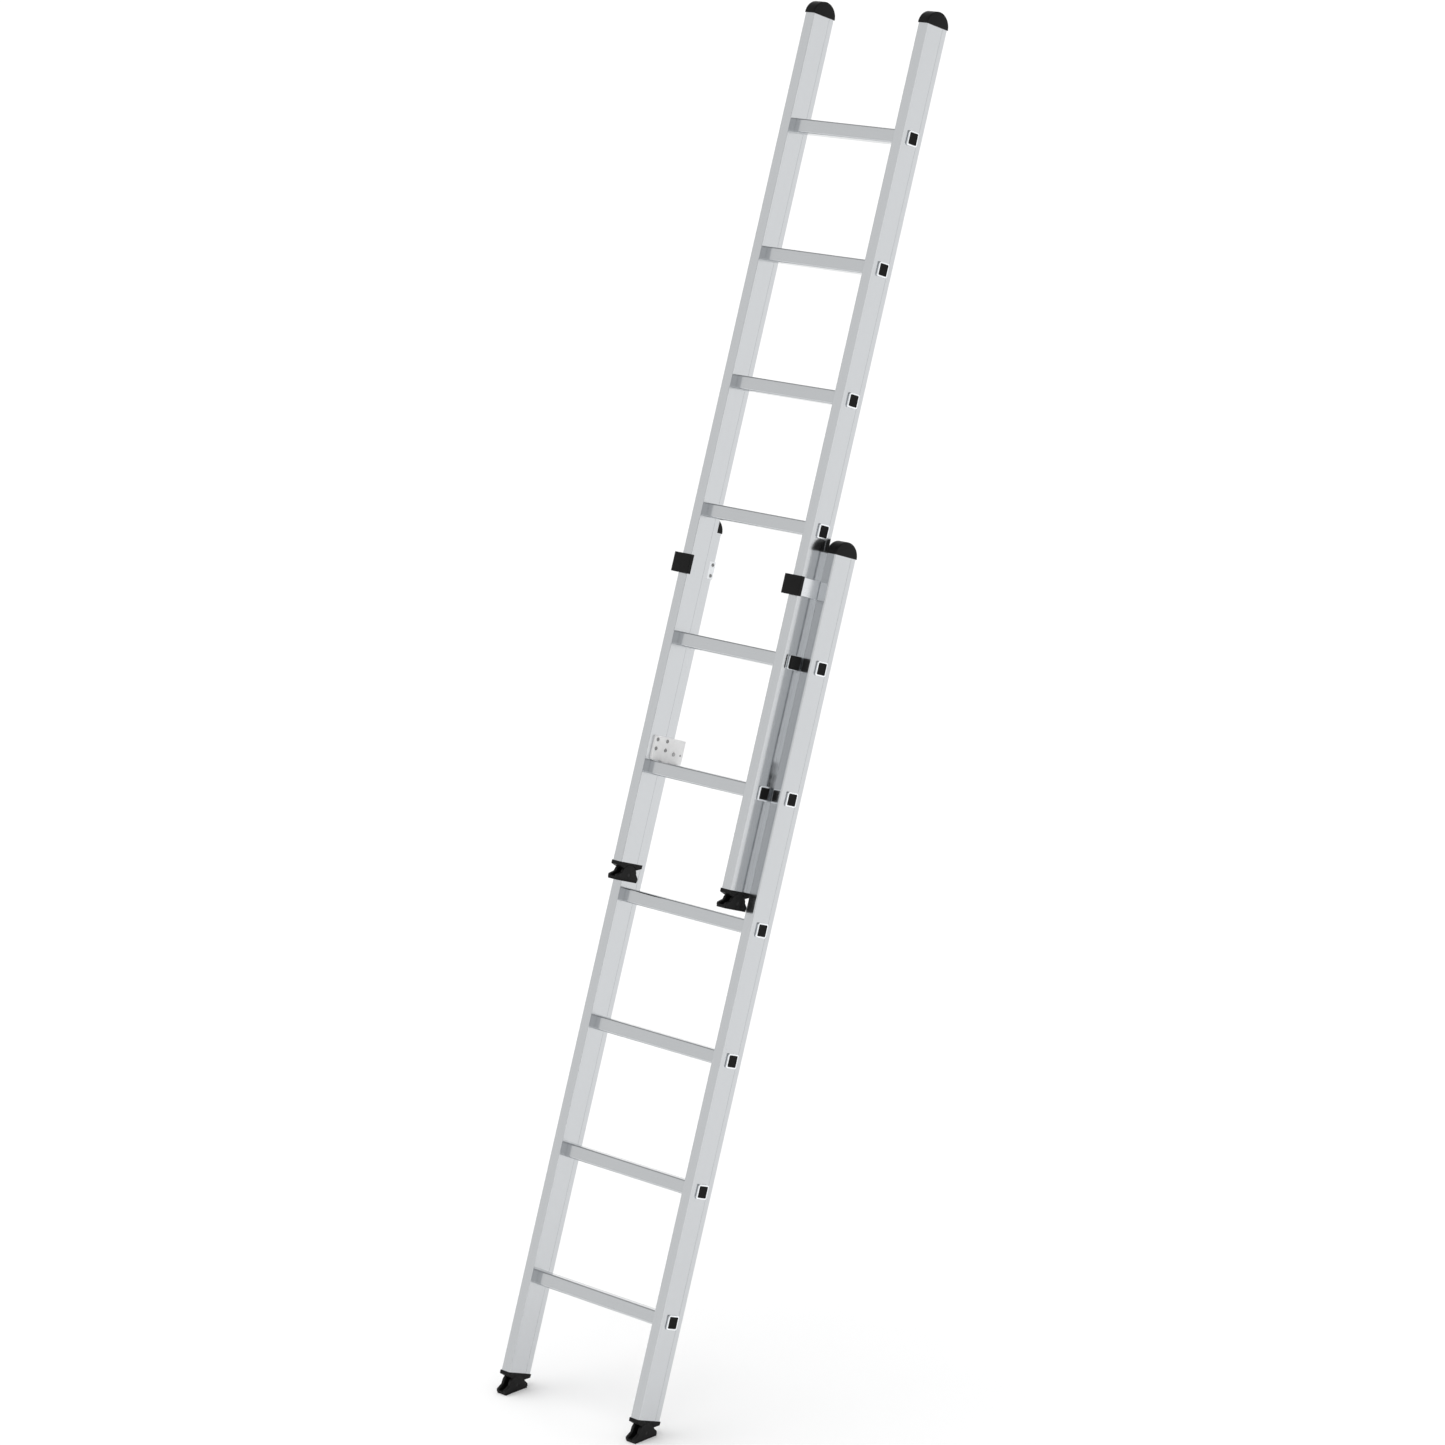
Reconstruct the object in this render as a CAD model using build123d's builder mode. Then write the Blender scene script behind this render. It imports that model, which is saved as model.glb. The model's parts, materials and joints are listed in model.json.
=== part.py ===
"""Two-section aluminium extension ladder, leaning at its working angle.

The pieces are built with the ladder upright: X across the ladder, Y from the climber's side to
the wall side, Z up along the stiles. Z = 0 is the centre of the lower section's first rung and
Y = 0 is the front of the upper section. LEAN then sets each finished piece at its working angle,
with the floor at Z = 0 and the origin midway between the lower feet.
"""
from build123d import *
from math import cos, radians, sin
import os

os.makedirs("parts", exist_ok=True)

# ---- the two sections
LEAN_ANGLE = 20  # degrees back from upright, about 70 degrees to the floor
RUNG_PITCH = 280
RUNG_COUNT = 6
RUNGS_RAISED = 4  # rungs that the upper section stands above its closed place
STOPPED_RUNG = 2  # rung of the upper section whose ends carry the stop plugs
LOWER_WIDTH = 420  # outside of the lower section's stiles
SIDE_GAP = 10  # between an upper stile and the lower stile beside it
PASSING_GAP = 2  # between the upper stiles' backs and the lower section's rungs
BELOW_FIRST_RUNG = 210.5
ABOVE_LAST_RUNG = 239.5

# ---- stiles: rectangular tube with a shallow recess down the middle of each side
STILE_WIDTH = 25
STILE_DEPTH = 66
STILE_WALL = 2
STILE_CORNER = 3
RECESS_MARGIN = 3  # how far the recess reaches past a rung on each side
RECESS = 0.3

# ---- rungs: square tube, its ends passed through the stiles and rolled into a rim
RUNG_SIZE = 30
RUNG_WALL = 1.6
RUNG_CORNER = 4
RIM_PROUD = 4
RIM_LAP = 0.75  # how far the rim reaches past the tube on each side
RIM_ROUNDING = 1
RIM_LIP = 0.8  # how far the rim closes in on the bore
MOUTH_CORNER = 2.5
PLUG_SINK = 1
PLUG_HEAD = 2.5
PLUG_STEM = 12
PLUG_STEM_CLEARANCE = 1.1

# ---- stop plugs, which meet the guide straps when the upper section is raised too far
STOP_HEAD_INSET = 1.25  # how far the head stops inside the rim's edge
STOP_HEAD = 5
STOP_ROUNDING = 1

# ---- end caps
END_PLUG_CLEARANCE = 0.1
CAP_PLUG = 20
CAP_PROUD = 1
CAP_HEIGHT = 31
CAP_ROUNDING = 1.5

# ---- feet: a socket in the stile's end, a shoe on a cross pin, a ribbed tread
PIVOT_BELOW_STILE = 26
SOCKET_PLUG = 40
COLLAR_SIDE = 8
COLLAR_END_BELOW = 13  # depth of the collar's two tips under the stile's end
DOME_RADIUS = 22
DOME_CLEARANCE = 0.6
LUG_THICKNESS = 12
LUG_RADIUS = 7
LUG_CLEARANCE = 0.4
PIN_RADIUS = 3.5
PIN_RUNNING_CLEARANCE = 0.05
PIN_SHORT = 0.5  # how far the pin stops inside each face of the shoe
FLARE_ANGLE = 10  # degrees above level where the shoe leaves its dome
TOE_REACH = 36
HEEL_REACH = 29
SHOE_TOP = -4
SHOE_BASE = -10.5
SOLE_DROP = 14  # from the pivot to the floor
TREAD_INSET = 1.5
RIB_COUNT = 11
GROOVE_WIDTH = 2.4
GROOVE_DEPTH = 2

# ---- guide brackets at the top of the lower section
GUIDE_BELOW_TOP = 81.5
STRAP_THICKNESS = 4
STRAP_HEIGHT = 38
STRAP_BEND = 5
STRAP_SHORT = 2  # how far the strap stops inside the lower stile's back
STRAP_WRAP = 9  # how far the strap reaches past the upper stile's inner face
SLEEVE_WALL = 2
SLEEVE_FACE = 3
FRONT_CLEARANCE = 1
SLEEVE_ROUNDING = 1.2

# ---- blind rivets
RIVET_RADIUS = 2.4
RIVET_HEAD_RADIUS = 4.2
RIVET_HEAD = 1.5
RIVET_BULB_RADIUS = 3.4
RIVET_BULB = 4
GUIDE_RIVET_MARGIN = 11
GUIDE_RIVET_RISE = 23.4
GUIDE_RIVET_SETBACK = 7.3  # from the strap's rear end to the rear rivets

# ---- hook plates on the upper section, and the keepers behind them
HOOK_THICKNESS = 5
HOOK_FRONT = 15
HOOK_RISE = 53  # heights of the hook plate are measured from the top of the rung
HOOK_BOTTOM_GAP = 1.5
HOOK_REAR_MARGIN = 11
HOOK_SEAT_GAP = 0.2
LEG_GAP = 2
LEG_SHORT = 3  # how far the leg stops above the rung's underside
HOOK_ROUNDING = 3
HOOK_RIVET_BEHIND_MIDDLE = 5
HOOK_RIVET_RISE = 35
HOOK_RIVET_SPACING = (30, 19.5)
KEEPER_THICKNESS = 4
KEEPER_GAP = 0.3
KEEPER_HEAD_RADIUS = 8
KEEPER_ARM_RADIUS = 19.5
KEEPER_ARM_DEPTH = 6
TONGUE_WIDTH = 8
TONGUE_RUNG_GAP = 0.8
PIVOT_RISE = 20.5
KEEPER_PIN_RADIUS = 2.5
KEEPER_PIN_HEAD = 1.2
KEEPER_PIN_HEAD_RADIUS = 4.5
STOP_PIN_SPACING = 21
STOP_PIN_RADIUS = 3.5
STOP_PIN_GAP = 0.2

# ---- derived places
SECTION_STEP = STILE_DEPTH / 2 + RUNG_SIZE / 2 + PASSING_GAP
PIVOT_BEHIND_FRONT = STILE_DEPTH / 2
UPPER_WIDTH = LOWER_WIDTH - 2 * (STILE_WIDTH + SIDE_GAP)
UPPER_FIRST_RUNG = RUNGS_RAISED * RUNG_PITCH
STILE_LENGTH = BELOW_FIRST_RUNG + (RUNG_COUNT - 1) * RUNG_PITCH + ABOVE_LAST_RUNG
RIM_LENGTH = RIM_PROUD + RECESS
RIM_SIZE = RUNG_SIZE + 2 * RIM_LAP
BORE = RUNG_SIZE - 2 * RUNG_WALL
MOUTH = BORE - 2 * RIM_LIP
PLUG_STEM_SIZE = MOUTH - 2 * PLUG_STEM_CLEARANCE
STOP_HEAD_SIZE = RIM_SIZE - 2 * STOP_HEAD_INSET
RECESS_WIDTH = RUNG_SIZE + 2 * RECESS_MARGIN
CAP_WIDTH = STILE_WIDTH + 2 * CAP_PROUD
LOWER_RUNG_FRONT = SECTION_STEP + STILE_DEPTH / 2 - RUNG_SIZE / 2
LOWER_RUNG_BACK = LOWER_RUNG_FRONT + RUNG_SIZE
UPPER_RUNG_BACK = STILE_DEPTH / 2 + RUNG_SIZE / 2
GUIDE_HEIGHT = STILE_LENGTH - BELOW_FIRST_RUNG - GUIDE_BELOW_TOP
LOWER_INNER = LOWER_WIDTH / 2 - STILE_WIDTH
UPPER_INNER = UPPER_WIDTH / 2 - STILE_WIDTH
FOOT_Y = SECTION_STEP + PIVOT_BEHIND_FRONT
FOOT_Z = -BELOW_FIRST_RUNG - PIVOT_BELOW_STILE
LEAN = Pos(0, 0, SOLE_DROP) * Rot(-LEAN_ANGLE, 0, 0) * Pos(0, -FOOT_Y, -FOOT_Z)

# name, outside width, front face, first rung's height, turn of the shoes in degrees
SECTIONS = (
    ("lower", LOWER_WIDTH, SECTION_STEP, 0, LEAN_ANGLE),
    ("upper", UPPER_WIDTH, 0, UPPER_FIRST_RUNG, 0),
)


def side_plane(x, y=0, z=0, turn=0):
    """A plane facing +X with its own X along Y and its own Y along Z, turned about X."""
    along = (0, cos(radians(turn)), sin(radians(turn)))
    return Plane(origin=(x, y, z), x_dir=along, z_dir=(1, 0, 0))


def save(part, name):
    """Set a finished piece at the ladder's working angle and write it."""
    placed = part.moved(LEAN)
    placed.label = name
    export_step(placed, f"parts/{name}.step")


def save_pair(part, name):
    """Write the piece of the ladder's right side, and its mirror image on the left."""
    save(part, f"{name}_right")
    save(mirror(part, about=Plane.YZ), f"{name}_left")


# ---- stiles


def make_stile(width, front, first_rung, rivet_holes):
    """The right-hand stile of a section, pierced for its rungs and for rivets."""
    middle = width / 2 - STILE_WIDTH / 2
    inner = width / 2 - STILE_WIDTH
    with BuildPart() as stile:
        with BuildSketch(Plane.XY.offset(first_rung - BELOW_FIRST_RUNG)):
            with Locations((middle, front + STILE_DEPTH / 2)):
                RectangleRounded(STILE_WIDTH, STILE_DEPTH, STILE_CORNER)
                RectangleRounded(
                    STILE_WIDTH - 2 * STILE_WALL,
                    STILE_DEPTH - 2 * STILE_WALL,
                    STILE_CORNER - STILE_WALL,
                    mode=Mode.SUBTRACT,
                )
                with GridLocations(STILE_WIDTH - RECESS, 0, 2, 1):
                    Rectangle(RECESS, RECESS_WIDTH, mode=Mode.SUBTRACT)
        extrude(amount=STILE_LENGTH)
        with BuildSketch(side_plane(inner, front + STILE_DEPTH / 2, first_rung)):
            for number in range(RUNG_COUNT):
                with Locations((0, number * RUNG_PITCH)):
                    RectangleRounded(RUNG_SIZE, RUNG_SIZE, RUNG_CORNER)
        extrude(amount=STILE_WIDTH, mode=Mode.SUBTRACT)
        with BuildSketch(side_plane(inner)):
            with Locations(*rivet_holes):
                Circle(RIVET_RADIUS)
        extrude(amount=STILE_WALL, mode=Mode.SUBTRACT)
    return stile.part


def rivet_grid(centre, spacing):
    """The four corners of a rivet pattern."""
    return [
        (centre[0] + i * spacing[0] / 2, centre[1] + j * spacing[1] / 2)
        for i in (-1, 1)
        for j in (-1, 1)
    ]


STRAP_REAR = SECTION_STEP + STILE_DEPTH - STRAP_SHORT
GUIDE_RIVET_SPACING = (STILE_DEPTH - 2 * GUIDE_RIVET_MARGIN, GUIDE_RIVET_RISE)
GUIDE_RIVET_Y = STRAP_REAR - GUIDE_RIVET_SETBACK - GUIDE_RIVET_SPACING[0] / 2
GUIDE_RIVETS = rivet_grid((GUIDE_RIVET_Y, GUIDE_HEIGHT), GUIDE_RIVET_SPACING)
UPPER_RUNG_TOP = UPPER_FIRST_RUNG + RUNG_SIZE / 2
HOOK_RIVETS = rivet_grid(
    (STILE_DEPTH / 2 + HOOK_RIVET_BEHIND_MIDDLE, UPPER_RUNG_TOP + HOOK_RIVET_RISE), HOOK_RIVET_SPACING
)
save_pair(make_stile(LOWER_WIDTH, SECTION_STEP, 0, GUIDE_RIVETS), "lower_stile")
save_pair(make_stile(UPPER_WIDTH, 0, UPPER_FIRST_RUNG, HOOK_RIVETS), "upper_stile")

# ---- rungs, plugs and stop plugs


def make_rung(width, front, height):
    """One rung: a square tube with a rolled rim outside each stile."""
    reach = width / 2 + RIM_PROUD
    with BuildPart() as rung:
        with BuildSketch(side_plane(-reach, front + STILE_DEPTH / 2, height)):
            RectangleRounded(RUNG_SIZE, RUNG_SIZE, RUNG_CORNER)
            RectangleRounded(BORE, BORE, RUNG_CORNER - RUNG_WALL, mode=Mode.SUBTRACT)
        extrude(amount=2 * reach)
        for start in (-reach, reach - RIM_LENGTH):
            with BuildSketch(side_plane(start, front + STILE_DEPTH / 2, height)):
                RectangleRounded(RIM_SIZE, RIM_SIZE, RUNG_CORNER + RIM_LAP)
                RectangleRounded(MOUTH, MOUTH, MOUTH_CORNER, mode=Mode.SUBTRACT)
            extrude(amount=RIM_LENGTH)
        ends = rung.faces().sort_by(Axis.X)
        fillet(ends[0].outer_wire().edges() + ends[-1].outer_wire().edges(), RIM_ROUNDING)
    return rung.part


def make_plug(outer_face, front, height):
    """The plastic plug in the right-hand mouth of a rung."""
    face = outer_face + RIM_PROUD - PLUG_SINK
    centre = front + STILE_DEPTH / 2
    with BuildPart() as plug:
        with BuildSketch(side_plane(face - PLUG_HEAD, centre, height)):
            RectangleRounded(MOUTH, MOUTH, MOUTH_CORNER)
        extrude(amount=PLUG_HEAD)
        with BuildSketch(side_plane(face - PLUG_HEAD - PLUG_STEM, centre, height)):
            RectangleRounded(PLUG_STEM_SIZE, PLUG_STEM_SIZE, MOUTH_CORNER)
        extrude(amount=PLUG_STEM)
    return plug.part


def make_stop_plug():
    """The plug with a thick head that meets the guide strap."""
    rim_face = UPPER_WIDTH / 2 + RIM_PROUD
    height = UPPER_FIRST_RUNG + (STOPPED_RUNG - 1) * RUNG_PITCH
    with BuildPart() as plug:
        with BuildSketch(side_plane(rim_face - RIM_LENGTH, STILE_DEPTH / 2, height)):
            RectangleRounded(MOUTH, MOUTH, MOUTH_CORNER)
        extrude(amount=RIM_LENGTH)
        with BuildSketch(side_plane(rim_face - RIM_LENGTH - PLUG_STEM, STILE_DEPTH / 2, height)):
            RectangleRounded(PLUG_STEM_SIZE, PLUG_STEM_SIZE, MOUTH_CORNER)
        extrude(amount=PLUG_STEM)
        with BuildSketch(side_plane(rim_face, STILE_DEPTH / 2, height)):
            RectangleRounded(STOP_HEAD_SIZE, STOP_HEAD_SIZE, MOUTH_CORNER)
        extrude(amount=STOP_HEAD)
        fillet(plug.faces().sort_by(Axis.X)[-1].edges(), STOP_ROUNDING)
    return plug.part


for section, width, front, first_rung, _ in SECTIONS:
    plugs = []
    for number in range(1, RUNG_COUNT + 1):
        height = first_rung + (number - 1) * RUNG_PITCH
        save(make_rung(width, front, height), f"{section}_rung_{number}")
        if section == "lower" or number != STOPPED_RUNG:
            plug = make_plug(width / 2, front, height)
            plugs += [plug, mirror(plug, about=Plane.YZ)]
    save(Compound(children=plugs), f"{section}_rung_plugs")
save_pair(make_stop_plug(), "stop_plug")

# ---- end caps and feet


def make_end_plug(middle, front, bottom, length):
    """The block that a cap or a foot holds inside a stile's end."""
    with BuildPart() as plug:
        with BuildSketch(Plane.XY.offset(bottom)):
            with Locations((middle, front + STILE_DEPTH / 2)):
                RectangleRounded(
                    STILE_WIDTH - 2 * (STILE_WALL + END_PLUG_CLEARANCE),
                    STILE_DEPTH - 2 * (STILE_WALL + END_PLUG_CLEARANCE),
                    STILE_CORNER - STILE_WALL,
                )
        extrude(amount=length)
    return plug.part


def make_cap(width, front, first_rung):
    """The rounded plastic cap on the top of a stile."""
    middle = width / 2 - STILE_WIDTH / 2
    top = first_rung - BELOW_FIRST_RUNG + STILE_LENGTH
    depth = STILE_DEPTH + CAP_PROUD
    end_plug = make_end_plug(middle, front, top - CAP_PLUG, CAP_PLUG)
    with BuildPart() as cap:
        with BuildSketch(side_plane(middle - CAP_WIDTH / 2, front, top)):
            with BuildLine():
                low_front = Line((-CAP_PROUD, 0), (-CAP_PROUD, CAP_HEIGHT / 6))
                crown = Spline(
                    low_front @ 1,
                    (0.18 * STILE_DEPTH, 0.8 * CAP_HEIGHT),
                    (STILE_DEPTH / 2, CAP_HEIGHT),
                    (0.82 * STILE_DEPTH, 0.77 * CAP_HEIGHT),
                    (depth, CAP_HEIGHT / 8),
                )
                Polyline(crown @ 1, (depth, 0), low_front @ 0)
            make_face()
        extrude(amount=CAP_WIDTH)
        sides = cap.faces().filter_by(Axis.X)
        fillet(sides.edges().filter_by(GeomType.BSPLINE), CAP_ROUNDING)
        add(end_plug)
    return cap.part


def make_socket(middle, front, end):
    """The part of a foot that is fixed in the stile: plug, collar and lug."""
    pivot_y = front + PIVOT_BEHIND_FRONT
    pivot_z = end - PIVOT_BELOW_STILE
    seat = DOME_RADIUS + DOME_CLEARANCE
    tip_z = PIVOT_BELOW_STILE - COLLAR_END_BELOW
    tip_y = (seat**2 - tip_z**2) ** 0.5
    collar_front = -PIVOT_BEHIND_FRONT - CAP_PROUD
    collar_back = STILE_DEPTH + CAP_PROUD - PIVOT_BEHIND_FRONT
    collar_low = PIVOT_BELOW_STILE - COLLAR_SIDE
    end_plug = make_end_plug(middle, front, end, SOCKET_PLUG)
    with BuildPart() as socket:
        with BuildSketch(side_plane(middle - CAP_WIDTH / 2, pivot_y, pivot_z)):
            with BuildLine():
                seat_arc = ThreePointArc((-tip_y, tip_z), (0, seat), (tip_y, tip_z))
                Polyline(
                    seat_arc @ 1,
                    (collar_back, collar_low),
                    (collar_back, PIVOT_BELOW_STILE),
                    (collar_front, PIVOT_BELOW_STILE),
                    (collar_front, collar_low),
                    seat_arc @ 0,
                )
            make_face()
        extrude(amount=CAP_WIDTH)
        with BuildSketch(side_plane(middle - LUG_THICKNESS / 2, pivot_y, pivot_z)):
            Circle(LUG_RADIUS)
            with Locations((0, PIVOT_BELOW_STILE / 2)):
                Rectangle(2 * LUG_RADIUS, PIVOT_BELOW_STILE)
            Circle(PIN_RADIUS, mode=Mode.SUBTRACT)
        extrude(amount=LUG_THICKNESS)
        add(end_plug)
    return socket.part


def make_pin(middle, pivot_y, pivot_z):
    """The cross pin that a shoe turns on."""
    length = CAP_WIDTH - 2 * PIN_SHORT
    with BuildPart() as pin:
        with BuildSketch(side_plane(middle - length / 2, pivot_y, pivot_z)):
            Circle(PIN_RADIUS)
        extrude(amount=length)
    return pin.part


def make_shoe(middle, pivot_y, pivot_z, turn):
    """The swivelling shoe: two cheeks under a dome, joined by a flared base."""
    flare_y = DOME_RADIUS * cos(radians(FLARE_ANGLE))
    flare_z = DOME_RADIUS * sin(radians(FLARE_ANGLE))
    slot = LUG_THICKNESS + 2 * LUG_CLEARANCE
    slot_floor = -LUG_RADIUS - LUG_CLEARANCE
    with BuildPart() as shoe:
        with BuildSketch(side_plane(middle - CAP_WIDTH / 2, pivot_y, pivot_z, turn)):
            with BuildLine():
                dome = ThreePointArc((-flare_y, flare_z), (0, DOME_RADIUS), (flare_y, flare_z))
                Polyline(
                    dome @ 1,
                    (HEEL_REACH, SHOE_TOP),
                    (HEEL_REACH, SHOE_BASE),
                    (-TOE_REACH, SHOE_BASE),
                    (-TOE_REACH, SHOE_TOP),
                    dome @ 0,
                )
            make_face()
            Circle(PIN_RADIUS + PIN_RUNNING_CLEARANCE, mode=Mode.SUBTRACT)
        extrude(amount=CAP_WIDTH)
        with BuildSketch(side_plane(middle - slot / 2, pivot_y, pivot_z, turn)):
            with Locations((0, slot_floor)):
                Rectangle(
                    2 * TOE_REACH,
                    DOME_RADIUS - slot_floor,
                    align=(Align.CENTER, Align.MIN),
                )
        extrude(amount=slot, mode=Mode.SUBTRACT)
    return shoe.part


def make_tread(middle, pivot_y, pivot_z, turn):
    """The rubber pad under a shoe, grooved across into ribs."""
    front = -TOE_REACH + TREAD_INSET
    back = HEEL_REACH - TREAD_INSET
    rib_pitch = (back - front + GROOVE_WIDTH) / RIB_COUNT
    with BuildPart() as tread:
        with BuildSketch(side_plane(middle - CAP_WIDTH / 2, pivot_y, pivot_z, turn)):
            with Locations(((front + back) / 2, -SOLE_DROP)):
                Rectangle(back - front, SOLE_DROP + SHOE_BASE, align=(Align.CENTER, Align.MIN))
                with GridLocations(rib_pitch, 0, RIB_COUNT - 1, 1):
                    Rectangle(GROOVE_WIDTH, 2 * GROOVE_DEPTH, mode=Mode.SUBTRACT)
        extrude(amount=CAP_WIDTH)
    return tread.part


for section, width, front, first_rung, shoe_turn in SECTIONS:
    middle = width / 2 - STILE_WIDTH / 2
    end = first_rung - BELOW_FIRST_RUNG
    pivot = (front + PIVOT_BEHIND_FRONT, end - PIVOT_BELOW_STILE)
    save_pair(make_cap(width, front, first_rung), f"{section}_top_cap")
    save_pair(make_socket(middle, front, end), f"{section}_foot_socket")
    save_pair(make_pin(middle, *pivot), f"{section}_foot_pin")
    save_pair(make_shoe(middle, *pivot, shoe_turn), f"{section}_shoe")
    save_pair(make_tread(middle, *pivot, shoe_turn), f"{section}_tread")

# ---- guide brackets

STRAP_FRONT = -FRONT_CLEARANCE - SLEEVE_FACE - STRAP_THICKNESS / 2
STRAP_MIDDLE = LOWER_INNER - STRAP_THICKNESS / 2
STRAP_INNER = LOWER_INNER - STRAP_THICKNESS
STRAP_END = UPPER_INNER - STRAP_WRAP
SLEEVE_OUTER = LOWER_INNER + SLEEVE_WALL
SLEEVE_INNER = STRAP_END - SLEEVE_FACE
SLEEVE_DEPTH = 2 * SLEEVE_FACE + STRAP_THICKNESS


with BuildPart() as bent_strap:
    with BuildSketch(Plane.XY.offset(GUIDE_HEIGHT - STRAP_HEIGHT / 2)):
        with BuildLine():
            FilletPolyline(
                (STRAP_MIDDLE, STRAP_REAR),
                (STRAP_MIDDLE, STRAP_FRONT),
                (STRAP_END, STRAP_FRONT),
                radius=STRAP_BEND,
            )
        trace(line_width=STRAP_THICKNESS)
    extrude(amount=STRAP_HEIGHT)

with BuildPart() as guide_strap:
    add(bent_strap.part)
    with BuildSketch(side_plane(STRAP_INNER)):
        with Locations(*GUIDE_RIVETS):
            Circle(RIVET_RADIUS)
    extrude(amount=STRAP_THICKNESS, mode=Mode.SUBTRACT)
save_pair(guide_strap.part, "guide_strap")

with BuildPart() as guide_sleeve:
    with BuildSketch(Plane.XY.offset(GUIDE_HEIGHT - STRAP_HEIGHT / 2 - SLEEVE_WALL)):
        with Locations((SLEEVE_OUTER, -FRONT_CLEARANCE)):
            Rectangle(SLEEVE_OUTER - SLEEVE_INNER, SLEEVE_DEPTH, align=(Align.MAX, Align.MAX))
    extrude(amount=STRAP_HEIGHT + 2 * SLEEVE_WALL)
    fillet(guide_sleeve.faces().sort_by(Axis.Y)[0].edges(), SLEEVE_ROUNDING)
    add(bent_strap.part, mode=Mode.SUBTRACT)
save_pair(guide_sleeve.part, "guide_sleeve")


def make_rivets(face, grip, places):
    """Blind rivets whose heads lie on a face that looks towards the middle of the ladder."""
    with BuildPart() as rivets:
        with BuildSketch(side_plane(face - RIVET_HEAD)):
            with Locations(*places):
                Circle(RIVET_HEAD_RADIUS)
        extrude(amount=RIVET_HEAD)
        fillet(rivets.edges().group_by(Axis.X)[0], 0.8 * RIVET_HEAD)
        with BuildSketch(side_plane(face)):
            with Locations(*places):
                Circle(RIVET_RADIUS)
        extrude(amount=grip)
        with BuildSketch(side_plane(face + grip)):
            with Locations(*places):
                Circle(RIVET_BULB_RADIUS)
        extrude(amount=RIVET_BULB)
    return rivets.part


for name, face, grip, places in (
    ("guide_rivets", STRAP_INNER, STRAP_THICKNESS + STILE_WALL, GUIDE_RIVETS),
    ("hook_rivets", UPPER_INNER - HOOK_THICKNESS, HOOK_THICKNESS + STILE_WALL, HOOK_RIVETS),
):
    right = make_rivets(face, grip, places)
    both = right.solids() + mirror(right, about=Plane.YZ).solids()
    save(Compound(children=both), name)

# ---- hook plates and keepers

HOOK_FACE = UPPER_INNER - HOOK_THICKNESS
HOOK_REAR = LOWER_RUNG_BACK + HOOK_REAR_MARGIN
SEAT = RUNG_SIZE / 2 + HOOK_SEAT_GAP
HOOK_BOTTOM = RUNG_SIZE / 2 + HOOK_BOTTOM_GAP
HOOK_TOP = RUNG_SIZE / 2 + HOOK_RISE
LEG_REACH = RUNG_SIZE / 2 - LEG_SHORT
PIVOT_HEIGHT = RUNG_SIZE / 2 + PIVOT_RISE
LEG_FRONT = UPPER_RUNG_BACK + LEG_GAP
LEG_BACK = LOWER_RUNG_FRONT - LEG_GAP
TONGUE_FRONT = LOWER_RUNG_BACK + TONGUE_RUNG_GAP
KEEPER_PIVOT_Y = TONGUE_FRONT + TONGUE_WIDTH / 4
STOP_PIN_Y = KEEPER_PIVOT_Y - STOP_PIN_SPACING
TONGUE_LENGTH = PIVOT_HEIGHT + LEG_REACH

with BuildPart() as hook_plate:
    with BuildSketch(side_plane(HOOK_FACE, 0, UPPER_FIRST_RUNG)) as hook_outline:
        with BuildLine():
            Polyline(
                (HOOK_FRONT, HOOK_BOTTOM),
                (LEG_FRONT, HOOK_BOTTOM),
                (LEG_FRONT, -LEG_REACH),
                (LEG_BACK, -LEG_REACH),
                (LEG_BACK, SEAT),
                (HOOK_REAR, SEAT),
                (HOOK_REAR, HOOK_TOP),
                (HOOK_FRONT, HOOK_TOP),
                close=True,
            )
        make_face()
        fillet(hook_outline.vertices(), HOOK_ROUNDING)
        with Locations((KEEPER_PIVOT_Y, PIVOT_HEIGHT)):
            Circle(KEEPER_PIN_RADIUS, mode=Mode.SUBTRACT)
        with Locations((STOP_PIN_Y, PIVOT_HEIGHT)):
            Circle(STOP_PIN_RADIUS, mode=Mode.SUBTRACT)
    extrude(amount=HOOK_THICKNESS)
    with BuildSketch(side_plane(HOOK_FACE)):
        with Locations(*HOOK_RIVETS):
            Circle(RIVET_RADIUS)
    extrude(amount=HOOK_THICKNESS, mode=Mode.SUBTRACT)
save_pair(hook_plate.part, "hook_plate")

with BuildPart() as keeper:
    with BuildSketch(side_plane(UPPER_INNER + KEEPER_GAP, KEEPER_PIVOT_Y, UPPER_FIRST_RUNG + PIVOT_HEIGHT)):
        Circle(KEEPER_ARM_RADIUS)
        arm_top = -STOP_PIN_RADIUS - STOP_PIN_GAP
        with Locations((0, arm_top)):
            Rectangle(
                KEEPER_ARM_RADIUS,
                KEEPER_ARM_DEPTH,
                align=(Align.MAX, Align.MAX),
                mode=Mode.INTERSECT,
            )
        Circle(KEEPER_HEAD_RADIUS)
        with Locations((TONGUE_FRONT - KEEPER_PIVOT_Y, 0)):
            Rectangle(TONGUE_WIDTH, TONGUE_LENGTH, align=(Align.MIN, Align.MAX))
        Circle(KEEPER_PIN_RADIUS + PIN_RUNNING_CLEARANCE, mode=Mode.SUBTRACT)
    extrude(amount=KEEPER_THICKNESS)
save_pair(keeper.part, "keeper")

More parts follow.
